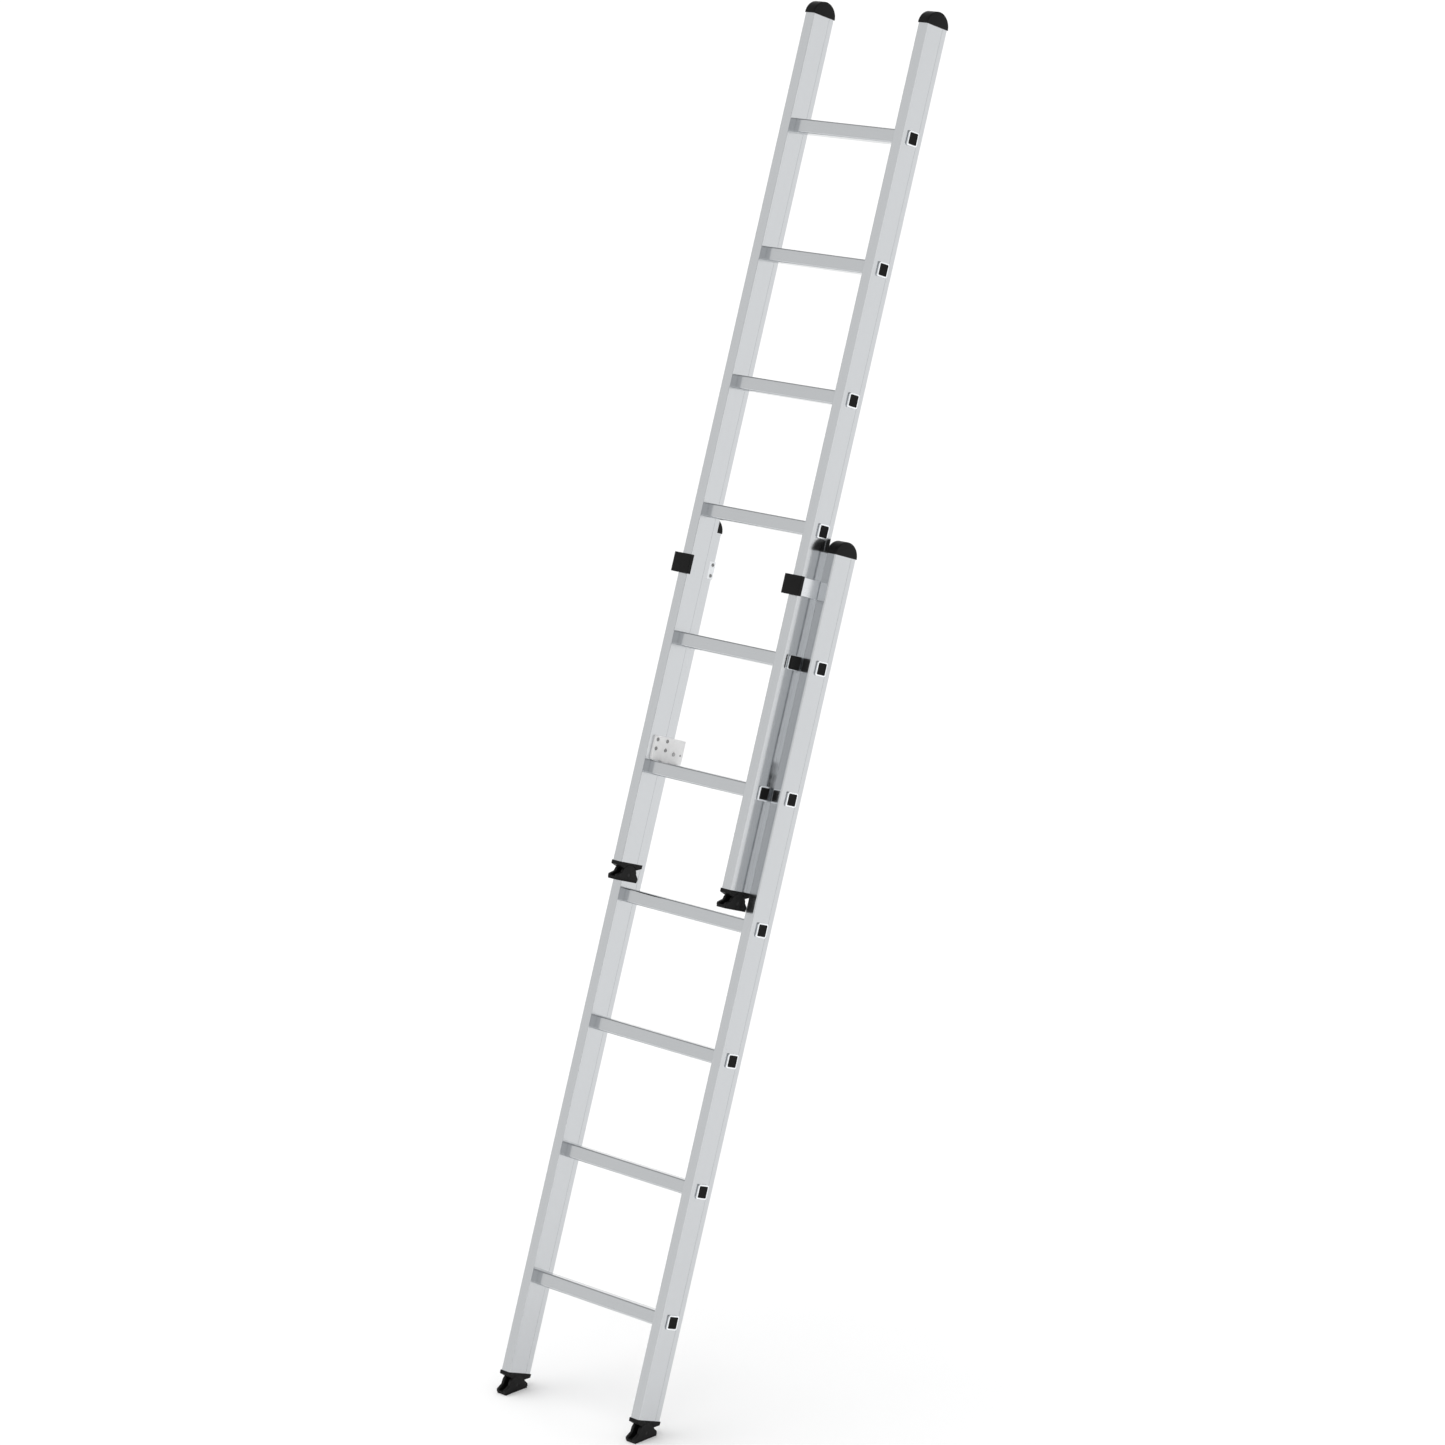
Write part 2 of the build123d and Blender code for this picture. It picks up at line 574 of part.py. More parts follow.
with BuildPart() as keeper_pin:
    pin_reach = HOOK_THICKNESS + KEEPER_THICKNESS + 2 * KEEPER_GAP
    with BuildSketch(side_plane(HOOK_FACE, KEEPER_PIVOT_Y, UPPER_FIRST_RUNG + PIVOT_HEIGHT)):
        Circle(KEEPER_PIN_RADIUS)
    extrude(amount=pin_reach)
    with BuildSketch(
        side_plane(HOOK_FACE + pin_reach, KEEPER_PIVOT_Y, UPPER_FIRST_RUNG + PIVOT_HEIGHT)
    ):
        Circle(KEEPER_PIN_HEAD_RADIUS)
    extrude(amount=KEEPER_PIN_HEAD)
save_pair(keeper_pin.part, "keeper_pin")

with BuildPart() as keeper_stop:
    with BuildSketch(side_plane(HOOK_FACE - KEEPER_PIN_HEAD, STOP_PIN_Y, UPPER_FIRST_RUNG + PIVOT_HEIGHT)):
        Circle(KEEPER_PIN_HEAD_RADIUS)
    extrude(amount=KEEPER_PIN_HEAD)
    fillet(keeper_stop.edges().group_by(Axis.X)[0], 0.8 * KEEPER_PIN_HEAD)
    with BuildSketch(side_plane(HOOK_FACE, STOP_PIN_Y, UPPER_FIRST_RUNG + PIVOT_HEIGHT)):
        Circle(STOP_PIN_RADIUS)
    extrude(amount=HOOK_THICKNESS + KEEPER_GAP + KEEPER_THICKNESS)
save_pair(keeper_stop.part, "keeper_stop")
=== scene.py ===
# %% [markdown]
# # An extension ladder in satin aluminium
# The ladder leans at its working angle on a pale floor. Its tubes, brackets and feet come from the
# CAD frame. This script gives them their finish, softens their edges, and makes the small repeated
# things, the rivets and the tread ribs, with Geometry Nodes.

# %% Load the frame
import json
import math

import bmesh
import bpy
from mathutils import Matrix, Vector

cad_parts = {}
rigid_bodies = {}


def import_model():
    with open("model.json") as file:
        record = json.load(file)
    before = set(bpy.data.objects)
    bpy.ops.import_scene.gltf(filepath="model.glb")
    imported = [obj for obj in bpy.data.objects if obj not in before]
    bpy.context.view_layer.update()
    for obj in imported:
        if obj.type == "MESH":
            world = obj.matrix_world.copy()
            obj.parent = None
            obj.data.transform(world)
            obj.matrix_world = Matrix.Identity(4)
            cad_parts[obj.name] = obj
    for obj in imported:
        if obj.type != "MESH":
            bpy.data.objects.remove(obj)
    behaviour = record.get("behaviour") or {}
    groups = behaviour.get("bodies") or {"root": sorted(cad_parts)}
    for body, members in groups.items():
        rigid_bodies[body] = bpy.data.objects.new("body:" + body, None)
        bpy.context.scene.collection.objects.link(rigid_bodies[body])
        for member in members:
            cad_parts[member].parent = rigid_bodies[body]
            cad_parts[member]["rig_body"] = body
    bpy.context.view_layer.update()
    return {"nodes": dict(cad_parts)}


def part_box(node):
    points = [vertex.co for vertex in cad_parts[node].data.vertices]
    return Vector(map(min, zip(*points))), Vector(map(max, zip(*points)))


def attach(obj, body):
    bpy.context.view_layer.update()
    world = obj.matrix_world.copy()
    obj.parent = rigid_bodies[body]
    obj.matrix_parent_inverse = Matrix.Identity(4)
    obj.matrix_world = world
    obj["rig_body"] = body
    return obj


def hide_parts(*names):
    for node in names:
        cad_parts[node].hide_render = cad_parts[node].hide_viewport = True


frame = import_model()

nodes = frame["nodes"]
print("nodes in the frame:", len(nodes))

# %% [markdown]
# ## Places that everything else uses
# Both sections lean back by the same angle, and their pieces are named by section, side and
# number, so loops over these few values reach every piece.

# %% Lean, sections and sides
LEAN_DEGREES = 20
SIDES = ("left", "right")
SECTIONS = ("lower", "upper")
RUNGS = range(1, 7)

# %% [markdown]
# ## The camera
# A long lens from far away keeps the stiles nearly parallel, as in a catalogue picture. The camera
# looks a little down on the ladder and is tipped by about one degree.

# %% Camera
AIM = Vector((0, 0.4776, 1.4172))
CAMERA_AZIMUTH = 44.855
CAMERA_ELEVATION = 14.529
CAMERA_ROLL = -1.139
CAMERA_DISTANCE = 10.486
SENSOR = 36
LENS = 123.67


def looking(azimuth, elevation):
    """The unit vector from the aim towards a camera at these angles."""
    a, e = math.radians(azimuth), math.radians(elevation)
    return Vector((math.sin(a) * math.cos(e), -math.cos(a) * math.cos(e), math.sin(e)))


def make_camera():
    data = bpy.data.cameras.new("catalogue_camera")
    data.sensor_width = SENSOR
    data.lens = LENS
    data.clip_end = 100
    camera = bpy.data.objects.new("catalogue_camera", data)
    bpy.context.scene.collection.objects.link(camera)
    toward = looking(CAMERA_AZIMUTH, CAMERA_ELEVATION)
    camera.location = AIM + toward * CAMERA_DISTANCE
    aimed = (-toward).to_track_quat("-Z", "Y").to_matrix().to_4x4()
    tipped = aimed @ Matrix.Rotation(math.radians(CAMERA_ROLL), 4, "Z")
    camera.rotation_euler = tipped.to_euler()
    bpy.context.scene.camera = camera
    print("camera at", [round(v, 3) for v in camera.location])


make_camera()

# %% [markdown]
# ## A small language for materials
# Shader maths reads better as a formula. `Value` wraps one socket, and the operators on it add
# Math nodes. `Finish` starts a material and adds any other node through one method.

# %% Shader maths
class Value:
    """One socket of a node tree, with arithmetic."""

    def __init__(self, tree, socket):
        self.tree = tree
        self.socket = socket

    def _math(self, operation, first, second):
        node = self.tree.nodes.new("ShaderNodeMath")
        node.operation = operation
        for slot, value in zip(node.inputs, (first, second)):
            if isinstance(value, Value):
                self.tree.links.new(value.socket, slot)
            else:
                slot.default_value = value
        return Value(self.tree, node.outputs[0])

    def __add__(self, other):
        return self._math("ADD", self, other)

    def __mul__(self, other):
        return self._math("MULTIPLY", self, other)

    __radd__ = __add__
    __rmul__ = __mul__


class Finish:
    """A material under construction."""

    def __init__(self, name, **constants):
        self.material = bpy.data.materials.new(name)
        self.material.use_nodes = True
        self.tree = self.material.node_tree
        self.shader = self.tree.nodes["Principled BSDF"]
        for socket, value in constants.items():
            self.shader.inputs[socket.replace("_", " ")].default_value = value

    def node(self, kind, settings=None, output=0, **inputs):
        """Adds a node: its settings first, then the values or links of its sockets."""
        made = self.tree.nodes.new(kind)
        for key, value in (settings or {}).items():
            setattr(made, key, value)
        for key, value in inputs.items():
            slot = made.inputs[int(key[1:])] if key[1:].isdigit() else made.inputs[key.replace("_", " ")]
            if isinstance(value, Value):
                self.tree.links.new(value.socket, slot)
            else:
                slot.default_value = value
        return Value(self.tree, made.outputs[output])

    def place(self, turn=0, scale=(1, 1, 1)):
        """Object coordinates, turned back by the lean so that Z runs along the stiles."""
        here = self.node("ShaderNodeTexCoord", output=3)
        turned = self.node("ShaderNodeMapping", Vector=here, Rotation=(math.radians(turn), 0, 0))
        return self.node("ShaderNodeMapping", Vector=turned, Scale=scale)

    def noise(self, where, scale, detail=2, roughness=0.5):
        return self.node("ShaderNodeTexNoise", Vector=where, Scale=scale, Detail=detail, Roughness=roughness)

    def blend(self, amount, dark, light):
        """A colour between two colours, either of which may itself be made by nodes."""
        return self.node("ShaderNodeMix", {"data_type": "RGBA"}, 2, _0=amount, _6=dark, _7=light)

    def feed(self, socket, value):
        self.tree.links.new(value.socket, self.shader.inputs[socket])

    def bump(self, height, strength, distance):
        self.feed("Normal", self.node("ShaderNodeBump", Height=height, Strength=strength, Distance=distance))


def grey(value, blue=0.0):
    """A neutral colour, very slightly cool where blue is above zero."""
    return (value * (1 - blue), value, value * (1 + blue), 1)


# %% [markdown]
# ## Extruded aluminium
# Aluminium tube is pressed through a die, so it carries faint straight lines along its length and
# a satin shine. Noise that is stretched hundreds of times along one axis gives those lines. They
# change the colour and the roughness slightly, and the bump only just.

# %% Aluminium finishes
FINE = 900
COARSE = 55
COOL = 0.025


def extruded_aluminium(name, stretch, light, rough):
    finish = Finish(name, Metallic=1.0)
    lines = finish.noise(finish.place(LEAN_DEGREES, stretch), FINE, 3)
    bands = finish.noise(finish.place(LEAN_DEGREES, stretch), COARSE)
    clouds = finish.noise(finish.place(LEAN_DEGREES), 9, 3)
    amount = lines * 0.5 + bands * 0.3 + clouds * 0.2
    finish.feed("Base Color", finish.blend(amount, grey(light * 0.96, COOL), grey(light * 1.04, COOL)))
    finish.feed("Roughness", rough - 0.05 + lines * 0.06 + clouds * 0.04)
    finish.bump(lines, 0.05, 0.0002)
    return finish.material


ALONG_STILE = (1, 1, 0.004)
ALONG_RUNG = (0.004, 1, 1)
stile_finish = extruded_aluminium("stile_aluminium", ALONG_STILE, 0.62, 0.16)

# %% [markdown]
# The rung ends are rolled over outside the stiles. That rim gets a painted highlight, brighter than the
# drawn tube, and where the rim meets the stile a thin dark band of painted shadow. Both depend only on
# how far a point is from the middle of the ladder, so each section has its own rung finish.

# %% Rung finishes
# Painted shadow: a thin near-black band just outside the stile, where the rolled rim meets it.
SEAM_SHADOW_WIDTH = 0.0007
PAINTED_SEAM_SHADOW = 0.08
TUBE_SHADE = 0.57
TUBE_SHINE = 0.62
# Painted highlight: the rolled rim's colour is lifted near white to stand for the light on its rounded edge.
RIM_PAINTED_HIGHLIGHT = 0.93


def rung_aluminium(section):
    """Drawn tube between the stiles, a painted shadow band where it meets the stile, then a painted
    highlight on the rolled rim.
    """
    low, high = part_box(f"{section}_stile_right")
    outer_face = high[0]
    finish = Finish(f"{section}_rung_aluminium", Metallic=1.0)
    lines = finish.noise(finish.place(LEAN_DEGREES, ALONG_RUNG), FINE, 3)
    clouds = finish.noise(finish.place(LEAN_DEGREES), 9, 3)
    tube = finish.blend(lines * 0.6 + clouds * 0.4, grey(TUBE_SHADE, COOL), grey(TUBE_SHINE, COOL))
    split = finish.node("ShaderNodeSeparateXYZ", Vector=finish.place())
    across = finish.node("ShaderNodeMath", {"operation": "ABSOLUTE"}, _0=split)
    # Mask of the painted shadow band just outside the stile's outer face.
    seam_shadow_band = finish.node("ShaderNodeMath", {"operation": "GREATER_THAN"}, _0=across, _1=outer_face)
    # The rim mask: where the painted highlight goes, beyond the painted shadow band.
    rim = finish.node("ShaderNodeMath", {"operation": "GREATER_THAN"}, _0=across, _1=outer_face + SEAM_SHADOW_WIDTH)
    # Paints the shadow band near black over the tube colour.
    tube_with_painted_shadow = finish.blend(seam_shadow_band, tube, grey(PAINTED_SEAM_SHADOW))
    finish.feed("Base Color", finish.blend(rim, tube_with_painted_shadow, grey(RIM_PAINTED_HIGHLIGHT, COOL)))
    finish.feed("Roughness", 0.14 + lines * 0.06 + clouds * 0.04)
    finish.bump(lines, 0.05, 0.0002)
    print(section, "rung rim starts at", round(outer_face, 4))
    return finish.material


rung_finishes = {section: rung_aluminium(section) for section in SECTIONS}
strap_finish = extruded_aluminium("strap_aluminium", (1, 0.004, 1), 0.78, 0.28)

# %% [markdown]
# ## Plated steel
# The hook plates are pressed from sheet steel and plated almost white. Plating is blotchy at the
# scale of a few millimetres, and slightly darker in the scratches that handling leaves.

# %% Steel finishes
def plated_steel(name, light, rough, metal):
    finish = Finish(name, Metallic=metal)
    blotches = finish.noise(finish.place(LEAN_DEGREES), 160, 4, 0.6)
    scratches = finish.noise(finish.place(LEAN_DEGREES + 25, (1, 0.05, 1)), 1500, 2)
    amount = blotches * 0.7 + scratches * 0.3
    finish.feed("Base Color", finish.blend(amount, grey(light * 0.9), grey(light * 1.06)))
    finish.feed("Roughness", rough - 0.06 + blotches * 0.12)
    finish.bump(scratches, 0.04, 0.0002)
    return finish.material


plate_finish = plated_steel("pale_plated_steel", 0.93, 0.45, 0.10)
rivet_finish = plated_steel("rivet_steel", 0.34, 0.30, 1.0)
pin_finish = plated_steel("pin_steel", 0.36, 0.32, 1.0)
foot_pin_finish = plated_steel("blackened_pin_steel", 0.02, 0.45, 0.6)

# %% [markdown]
# ## Black plastic and rubber
# The caps, sleeves, plugs and shoes are moulded in black plastic with a fine spark-eroded grain.
# Rubber is rougher, and greyer where it has picked up dust. The shine stays low, so it reads black.

# %% Black finishes
def moulded_plastic(name, dark, rough, grain, dust, shine):
    finish = Finish(name, Specular_IOR_Level=shine)
    spark = finish.noise(finish.place(), 2600, 2)
    patches = finish.noise(finish.place(), 45, 4, 0.6)
    finish.feed("Base Color", finish.blend(patches, grey(dark), grey(dark + dust)))
    finish.feed("Roughness", rough - 0.06 + patches * 0.12)
    finish.bump(spark, grain, 0.0004)
    return finish.material


cap_finish = moulded_plastic("black_moulding", 0.004, 0.42, 0.12, 0.004, 0.12)
plug_finish = moulded_plastic("rung_plug_moulding", 0.004, 0.6, 0.08, 0.003, 0.12)
shoe_finish = moulded_plastic("shoe_moulding", 0.005, 0.46, 0.16, 0.005, 0.14)
tread_finish = moulded_plastic("tread_rubber", 0.008, 0.75, 0.35, 0.008, 0.15)

# %% [markdown]
# ## Softened copies of the CAD pieces
# A CAD edge is perfectly sharp, and no real edge is. Each visible piece gets a copy whose loose
# triangles are merged and whose flat stretches are joined, and a small Bevel that catches the
# light. The copy rides on the same body and stands for its node.

# %% Softening helper
SHARP_DEGREES = 25
BEVEL_SEGMENTS = 2
MERGE = 0.000005
FLAT = 0.5


def softened(node, material, width):
    """A merged copy of a CAD node with rounded edges, in the node's place."""
    copy = bpy.data.objects.new(f"{node}_soft", nodes[node].data.copy())
    bpy.context.scene.collection.objects.link(copy)
    mesh = bmesh.new()
    mesh.from_mesh(copy.data)
    bmesh.ops.remove_doubles(mesh, verts=mesh.verts, dist=MERGE)
    bmesh.ops.dissolve_limit(
        mesh, angle_limit=math.radians(FLAT), verts=mesh.verts, edges=mesh.edges, delimit={"NORMAL"}
    )
    bmesh.ops.recalc_face_normals(mesh, faces=mesh.faces)
    mesh.to_mesh(copy.data)
    mesh.free()
    copy.data.materials.clear()
    copy.data.materials.append(material)
    copy.data.shade_smooth()
    copy.data.set_sharp_from_angle(angle=math.radians(SHARP_DEGREES + 10))
    if width:
        bevel = copy.modifiers.new("edges", "BEVEL")
        bevel.width = width
        bevel.segments = BEVEL_SEGMENTS
        bevel.limit_method = "ANGLE"
        bevel.angle_limit = math.radians(SHARP_DEGREES)
        bevel.harden_normals = True
    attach(copy, nodes[node]["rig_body"])
    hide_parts(node)
    return copy


def refinish(node, material):
    """Keeps a CAD node as it is and gives it a material."""
    data = nodes[node].data
    data.materials.clear()
    data.materials.append(material)


# %% [markdown]
# ## Stiles and rungs
# The stiles and rungs keep their CAD shape, because their corners and rolled rims are rounded
# already. So does the part of each plug that shows. Only the finish is new.

# %% Stiles, rungs and plugs
for section in SECTIONS:
    for side in SIDES:
        refinish(f"{section}_stile_{side}", stile_finish)
    for number in RUNGS:
        refinish(f"{section}_rung_{number}", rung_finishes[section])
    refinish(f"{section}_rung_plugs", plug_finish)

# %% [markdown]
# ## Mouldings, brackets and hooks
# These have sharp CAD edges, so each gets a softened copy. A moulding's edge is rounder than the
# edge of a cut or pressed plate, which is why the bevel widths differ. Pins keep their CAD shape.

# %% Mouldings and brackets
SOFT_EDGES = {
    "top_cap": (cap_finish, "black_plastic", 0.0006),
    "foot_socket": (cap_finish, "black_plastic", 0.0007),
    "shoe": (shoe_finish, "shoe_plastic", 0.0008),
}
for section in SECTIONS:
    for side in SIDES:
        for name, (finish, slot, width) in SOFT_EDGES.items():
            softened(f"{section}_{name}_{side}", finish, width)
        refinish(f"{section}_foot_pin_{side}", foot_pin_finish)
for side in SIDES:
    softened(f"stop_plug_{side}", cap_finish, 0.0004)
    softened(f"guide_sleeve_{side}", cap_finish, 0.0005)
    softened(f"guide_strap_{side}", strap_finish, 0.0004)
    softened(f"hook_plate_{side}", plate_finish, 0.0005)
    softened(f"keeper_{side}", pin_finish, 0.0003)
    refinish(f"keeper_pin_{side}", pin_finish)
    softened(f"keeper_stop_{side}", pin_finish, 0.0003)

# %% [markdown]
# ## Geometry Nodes: one way to repeat a thing
# A tree is built here node by node. `Tree` keeps that short. Each repeated thing is a small mesh,
# placed on points, realised, and given its material, then turned into a plain mesh.

# %% Tree helper
class Tree:
    """A Geometry Nodes tree with named inputs."""

    def __init__(self, name):
        self.group = bpy.data.node_groups.new(name, "GeometryNodeTree")
        self.group.interface.new_socket("Geometry", in_out="INPUT", socket_type="NodeSocketGeometry")
        self.group.interface.new_socket("Geometry", in_out="OUTPUT", socket_type="NodeSocketGeometry")
        self.entry = self.group.nodes.new("NodeGroupInput")
        self.exit = self.group.nodes.new("NodeGroupOutput")

    def input(self, name, kind, value):
        """A named input, and the socket that carries it."""
        item = self.group.interface.new_socket(name, in_out="INPUT", socket_type=f"NodeSocket{kind}")
        item.default_value = value
        return self.entry.outputs[name]

    def add(self, kind, settings=None, **inputs):
        made = self.group.nodes.new(kind)
        for key, value in (settings or {}).items():
            setattr(made, key, value)
        for key, value in inputs.items():
            slot = made.inputs[int(key[1:])] if key[1:].isdigit() else made.inputs[key.replace("_", " ")]
            if isinstance(value, bpy.types.NodeSocket):
                self.group.links.new(value, slot)
            else:
                slot.default_value = value
        return made

    def finish(self, geometry, material):
        real = self.add("GeometryNodeRealizeInstances", Geometry=geometry)
        painted = self.add("GeometryNodeSetMaterial", Geometry=real.outputs[0], Material=material)
        self.group.links.new(painted.outputs[0], self.exit.inputs[0])
        return self.group


def grown(name, points, group, sizes, body):
    """Runs a tree on a mesh of points and keeps the result as a plain mesh on a body."""
    seed = bpy.data.meshes.new(f"{name}_points")
    seed.from_pydata([tuple(p) for p in points], [], [])
    grower = bpy.data.objects.new(f"{name}_grower", seed)
    bpy.context.scene.collection.objects.link(grower)
    modifier = grower.modifiers.new("grow", "NODES")
    modifier.node_group = group
    for item in group.interface.items_tree:
        if item.in_out == "INPUT" and item.name in sizes:
            modifier[item.identifier] = sizes[item.name]
    bpy.context.view_layer.update()
    evaluated = grower.evaluated_get(bpy.context.evaluated_depsgraph_get())
    mesh = bpy.data.meshes.new_from_object(evaluated)
    piece = bpy.data.objects.new(name, mesh)
    bpy.context.scene.collection.objects.link(piece)
    bpy.data.objects.remove(grower)
    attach(piece, body)
    print(name, "has", len(mesh.polygons), "faces")
    return piece


# %% [markdown]
# ## Blind rivets
# A blind rivet is set from one side: a domed flange, and in its middle the stub of the mandrel in
# a shallow dimple. Its outline is turned, so one rivet is built ring by ring in mesh code. The
# Geometry Nodes tree then puts that rivet on each of the places read from the CAD rivets.

# %% Rivet tree
RIVET_FLANGE = 0.0042
RIVET_HEIGHT = 0.0015
RIVET_DIMPLE = 0.0017
RIVET_SHANK = 0.006
ROUND_STEPS = 28


def turned_rivet(facing):
    """A rivet's head and shank as one turned mesh at the origin, its head facing along X."""
    profile = [(0.0, 0.0005), (RIVET_DIMPLE * 0.62, 0.0005), (RIVET_DIMPLE * 0.66, 0.0001),
               (RIVET_DIMPLE * 0.82, 0.0001), (RIVET_DIMPLE, RIVET_HEIGHT * 0.86), (0.0024, RIVET_HEIGHT),
               (0.0033, RIVET_HEIGHT * 0.8), (0.0039, RIVET_HEIGHT * 0.45), (RIVET_FLANGE, 0.0),
               (0.0024, 0.0), (0.0024, -RIVET_SHANK), (0.0, -RIVET_SHANK)]
    mesh = bmesh.new()
    rings = []
    for radius, height in profile:
        if radius == 0:
            rings.append([mesh.verts.new((height * facing, 0, 0))])
            continue
        turns = [2 * math.pi * i / ROUND_STEPS for i in range(ROUND_STEPS)]
        places = [(height * facing, radius * math.cos(t), radius * math.sin(t)) for t in turns]
        rings.append([mesh.verts.new(place) for place in places])
    for near, far in zip(rings, rings[1:]):
        for i in range(ROUND_STEPS):
            j = (i + 1) % ROUND_STEPS
            corners = [near[i % len(near)], near[j % len(near)], far[j % len(far)], far[i % len(far)]]
            mesh.faces.new(dict.fromkeys(corners))
    bmesh.ops.recalc_face_normals(mesh, faces=mesh.faces)
    data = bpy.data.meshes.new("turned_rivet")
    mesh.to_mesh(data)
    mesh.free()
    data.shade_smooth()
    model = bpy.data.objects.new("turned_rivet", data)
    bpy.context.scene.collection.objects.link(model)
    model.hide_render = True
    return model


def rivet_tree(model):
    tree = Tree("rivets_on_points")
    scale = tree.input("Size", "Float", 1.0)
    info = tree.add("GeometryNodeObjectInfo", Object=model)
    info.transform_space = "ORIGINAL"
    placed = tree.add("GeometryNodeInstanceOnPoints", Points=tree.entry.outputs[0],
                      Instance=info.outputs["Geometry"], Scale=scale)
    return tree.finish(placed.outputs[0], rivet_finish)


def islands(node):
    """The points of each separate solid of a grouped CAD node, one list per solid."""
    mesh = bmesh.new()
    mesh.from_mesh(nodes[node].data)
    bmesh.ops.remove_doubles(mesh, verts=mesh.verts, dist=MERGE)
    left, found = set(mesh.verts), []
    while left:
        front = [left.pop()]
        group = list(front)
        while front:
            for edge in front.pop().link_edges:
                for vert in edge.verts:
                    if vert in left:
                        left.discard(vert)
                        front.append(vert)
                        group.append(vert)
        found.append([vert.co.copy() for vert in group])
    mesh.free()
    return found


def rivet_places(node, side):
    """Where the underside of each head is, on one side of the ladder."""
    places = []
    for points in islands(node):
        middle = sum(points, Vector()) / len(points)
        if middle.x * side < 0:
            continue
        head = min(abs(p.x) for p in points)
        low = Vector(map(min, zip(*points)))
        high = Vector(map(max, zip(*points)))
        places.append(Vector((side * (head + RIVET_HEIGHT), (low.y + high.y) / 2, (low.z + high.z) / 2)))
    return places


for node, body in (("guide_rivets", "lower_section"), ("hook_rivets", "upper_section")):
    for side, sign in (("left", -1), ("right", 1)):
        model = turned_rivet(-sign)
        heads = grown(f"{node}_{side}_set", rivet_places(node, sign), rivet_tree(model), {"Size": 1.0}, body)
        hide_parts(node)
        bpy.data.objects.remove(model)

# %% [markdown]
# ## Ribbed treads
# Each tread is a thin rubber pad with ribs across its underside, which bite into soft ground. The
# ribs repeat along a row, so a tree makes one rounded rib and puts it on each point. The pad
# is one more instance of the same bar, made longer. Together they stand for the CAD tread.

# %% Tread tree
TREAD_RIBS = 11
TREAD_GROOVE = 0.0024
RIB_DEPTH = 0.002
RIB_BURIED = 0.0002
TREAD_ROUNDING = 0.0003


def tread_tree():
    """Ribs on the points, and one pad above them, all turned with the shoe."""
    tree = Tree("tread_on_points")
    rib_size = tree.input("Rib size", "Vector", (0.027, 0.0035, 0.002))
    pad_size = tree.input("Pad size", "Vector", (0.027, 0.06, 0.0015))
    pad_place = tree.input("Pad place", "Vector", (0, 0, 0))
    turn = tree.input("Turn", "Vector", (0, 0, 0))
    rib = tree.add("GeometryNodeMeshCube", Size=rib_size)
    ribs = tree.add("GeometryNodeInstanceOnPoints", Points=tree.entry.outputs[0], Instance=rib.outputs[0],
                    Rotation=turn)
    pad = tree.add("GeometryNodeMeshCube", Size=pad_size)
    placed = tree.add("GeometryNodeTransform", Geometry=pad.outputs[0], Translation=pad_place, Rotation=turn)
    both = tree.add("GeometryNodeJoinGeometry", Geometry=ribs.outputs[0])
    tree.group.links.new(placed.outputs[0], both.inputs[0])
    return tree.finish(both.outputs[0], tread_finish)


def make_tread(section, side):
    turn = 0 if section == "lower" else math.radians(-LEAN_DEGREES)
    turned = Matrix.Rotation(turn, 3, "X")
    flat = [turned.inverted() @ v.co for v in nodes[f"{section}_tread_{side}"].data.vertices]
    low = Vector(map(min, zip(*flat)))
    high = Vector(map(max, zip(*flat)))
    pitch = (high.y - low.y + TREAD_GROOVE) / TREAD_RIBS
    rib = Vector((high.x - low.x, pitch - TREAD_GROOVE, RIB_DEPTH + RIB_BURIED))
    pad = Vector((high.x - low.x, high.y - low.y, high.z - low.z - RIB_DEPTH))
    middle = (low.x + high.x) / 2
    rows = [low.y + rib.y / 2 + i * pitch for i in range(TREAD_RIBS)]
    points = [turned @ Vector((middle, y, low.z + rib.z / 2)) for y in rows]
    pad_place = turned @ Vector((middle, (low.y + high.y) / 2, high.z - pad.z / 2))
    sizes = {"Rib size": rib, "Pad size": pad, "Pad place": pad_place, "Turn": (turn, 0, 0)}
    tread = grown(f"{section}_tread_rubber_{side}", points, tread_tree(), sizes, f"{section}_shoe_{side}")
    rounding = tread.modifiers.new("edges", "BEVEL")
    rounding.width = TREAD_ROUNDING
    rounding.segments = BEVEL_SEGMENTS
    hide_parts(f"{section}_tread_{side}")


for section in SECTIONS:
    for side in SIDES:
        make_tread(section, side)

# %% [markdown]
# ## Studio
# Satin metal shows its surroundings more than itself, so the light decides how it looks. The side
# faces mirror the white floor, and the front faces mirror the sky near the horizon. The ceiling of
# the studio is dark, so rounded top edges show a thin dark line. One very broad, soft sun lifts
# the floor to white, and is kept out of the reflections.

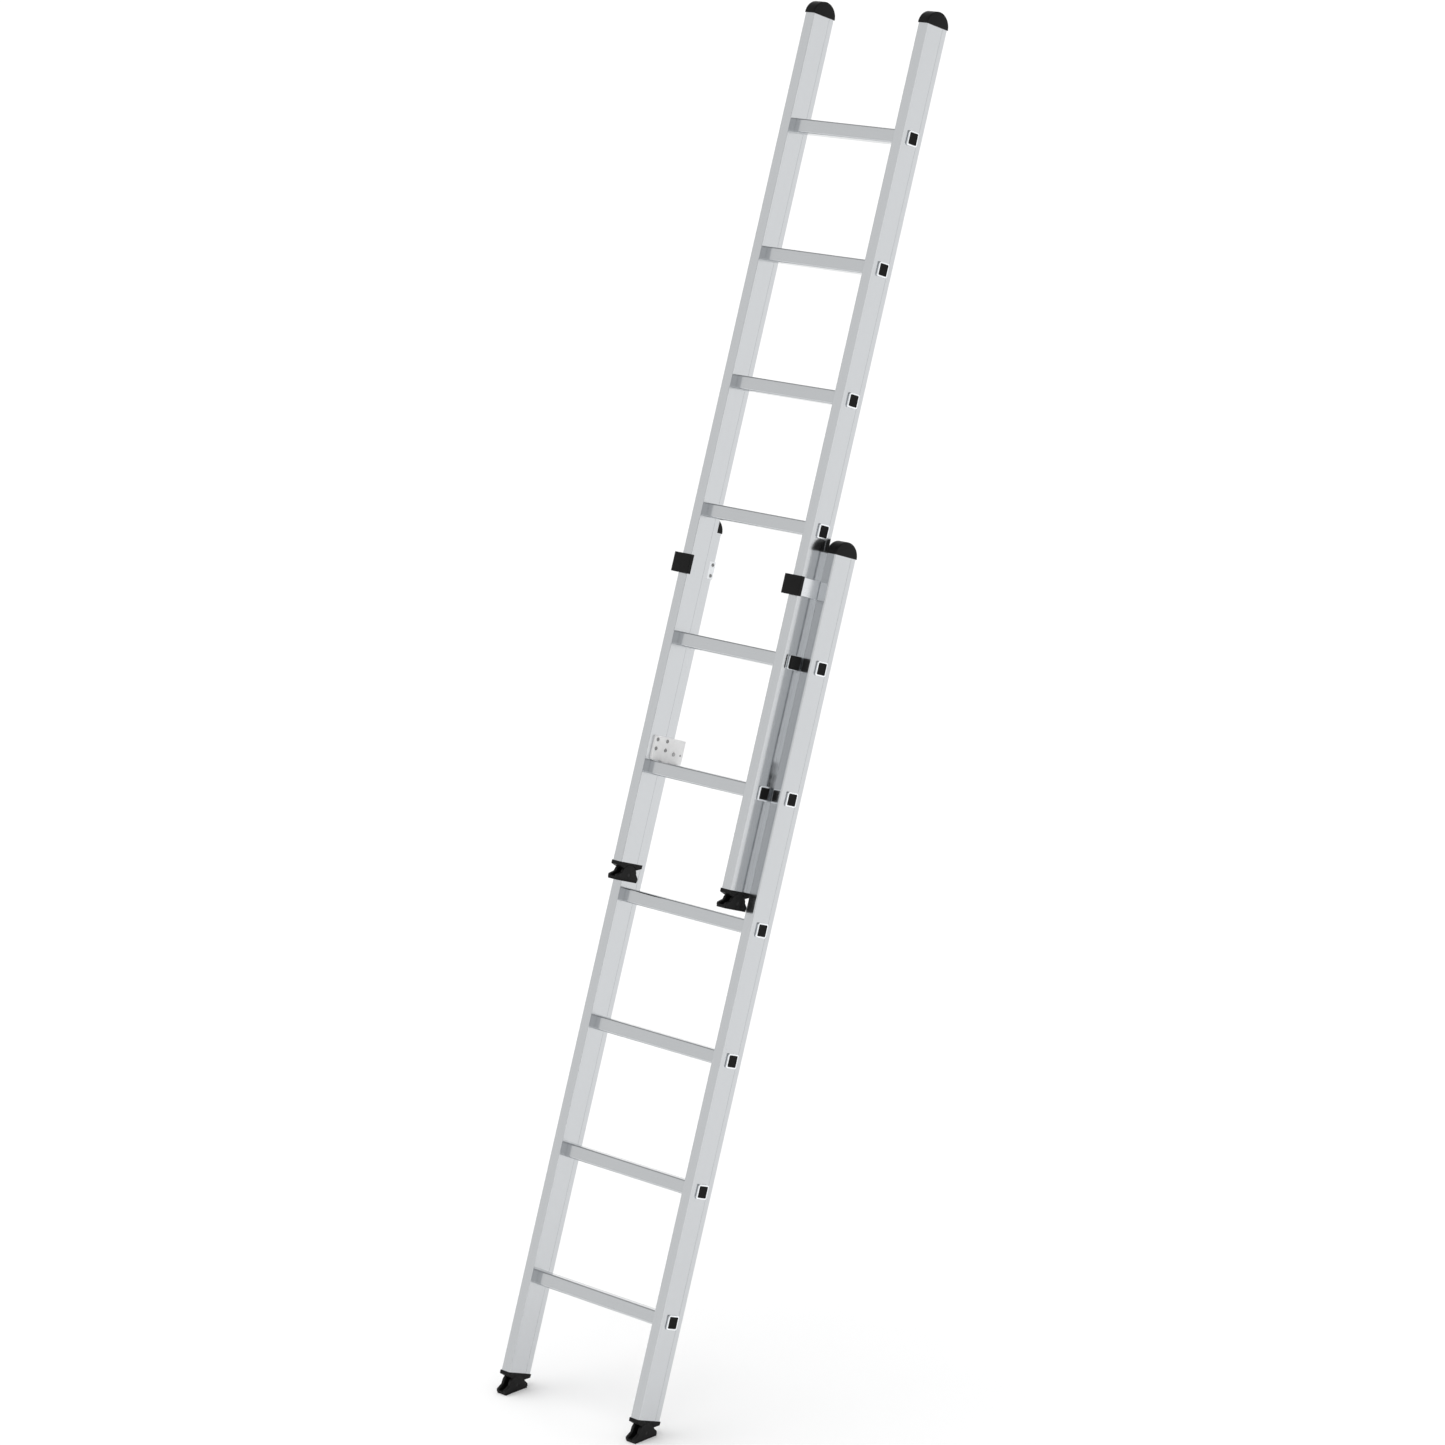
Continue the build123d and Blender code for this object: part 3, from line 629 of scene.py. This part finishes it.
# %% Floor, world and lights
FLOOR_SIZE = 60
WORLD_STRENGTH = 0.86
ZENITH_STRENGTH = 0.12
DIM_FROM = 0.55  # heights of a direction: 0 is the horizon, 1 is straight up
DIM_TO = 0.85
SUN_STRENGTH = 2.0
SUN_SPREAD_DEGREES = 90
SUN_AZIMUTH = -60
SUN_ELEVATION = 72


def make_floor():
    mesh = bpy.data.meshes.new("studio_floor")
    reach = FLOOR_SIZE / 2
    corners = [(-reach, -reach, 0), (reach, -reach, 0), (reach, reach, 0), (-reach, reach, 0)]
    mesh.from_pydata(corners, [], [(0, 1, 2, 3)])
    floor = bpy.data.objects.new("studio_floor", mesh)
    bpy.context.scene.collection.objects.link(floor)
    finish = Finish("pale_floor", Roughness=0.9, Specular_IOR_Level=0.1)
    mottle = finish.noise(finish.place(), 3, 3)
    finish.feed("Base Color", finish.blend(mottle, grey(0.955), grey(0.975)))
    mesh.materials.append(finish.material)


def make_sun():
    data = bpy.data.lights.new("soft_sun", "SUN")
    data.energy = SUN_STRENGTH
    data.angle = math.radians(SUN_SPREAD_DEGREES)
    sun = bpy.data.objects.new("soft_sun", data)
    bpy.context.scene.collection.objects.link(sun)
    sun.visible_glossy = False
    toward = looking(SUN_AZIMUTH, SUN_ELEVATION)
    sun.rotation_euler = (-toward).to_track_quat("-Z", "Y").to_euler()


world = bpy.data.worlds.new("white_studio")
world.use_nodes = True
sky = world.node_tree
direction = sky.nodes.new("ShaderNodeTexCoord").outputs["Generated"]
height = sky.nodes.new("ShaderNodeSeparateXYZ")
sky.links.new(direction, height.inputs[0])
dimmer = sky.nodes.new("ShaderNodeMapRange")
for socket, value in zip(dimmer.inputs[1:5], (DIM_FROM, DIM_TO, WORLD_STRENGTH, ZENITH_STRENGTH)):
    socket.default_value = value
sky.links.new(height.outputs["Z"], dimmer.inputs[0])
sky.links.new(dimmer.outputs[0], sky.nodes["Background"].inputs["Strength"])
sky.nodes["Background"].inputs["Color"].default_value = (1, 1, 1, 1)
bpy.context.scene.world = world
bpy.context.scene.view_settings.view_transform = "Standard"
make_floor()
make_sun()
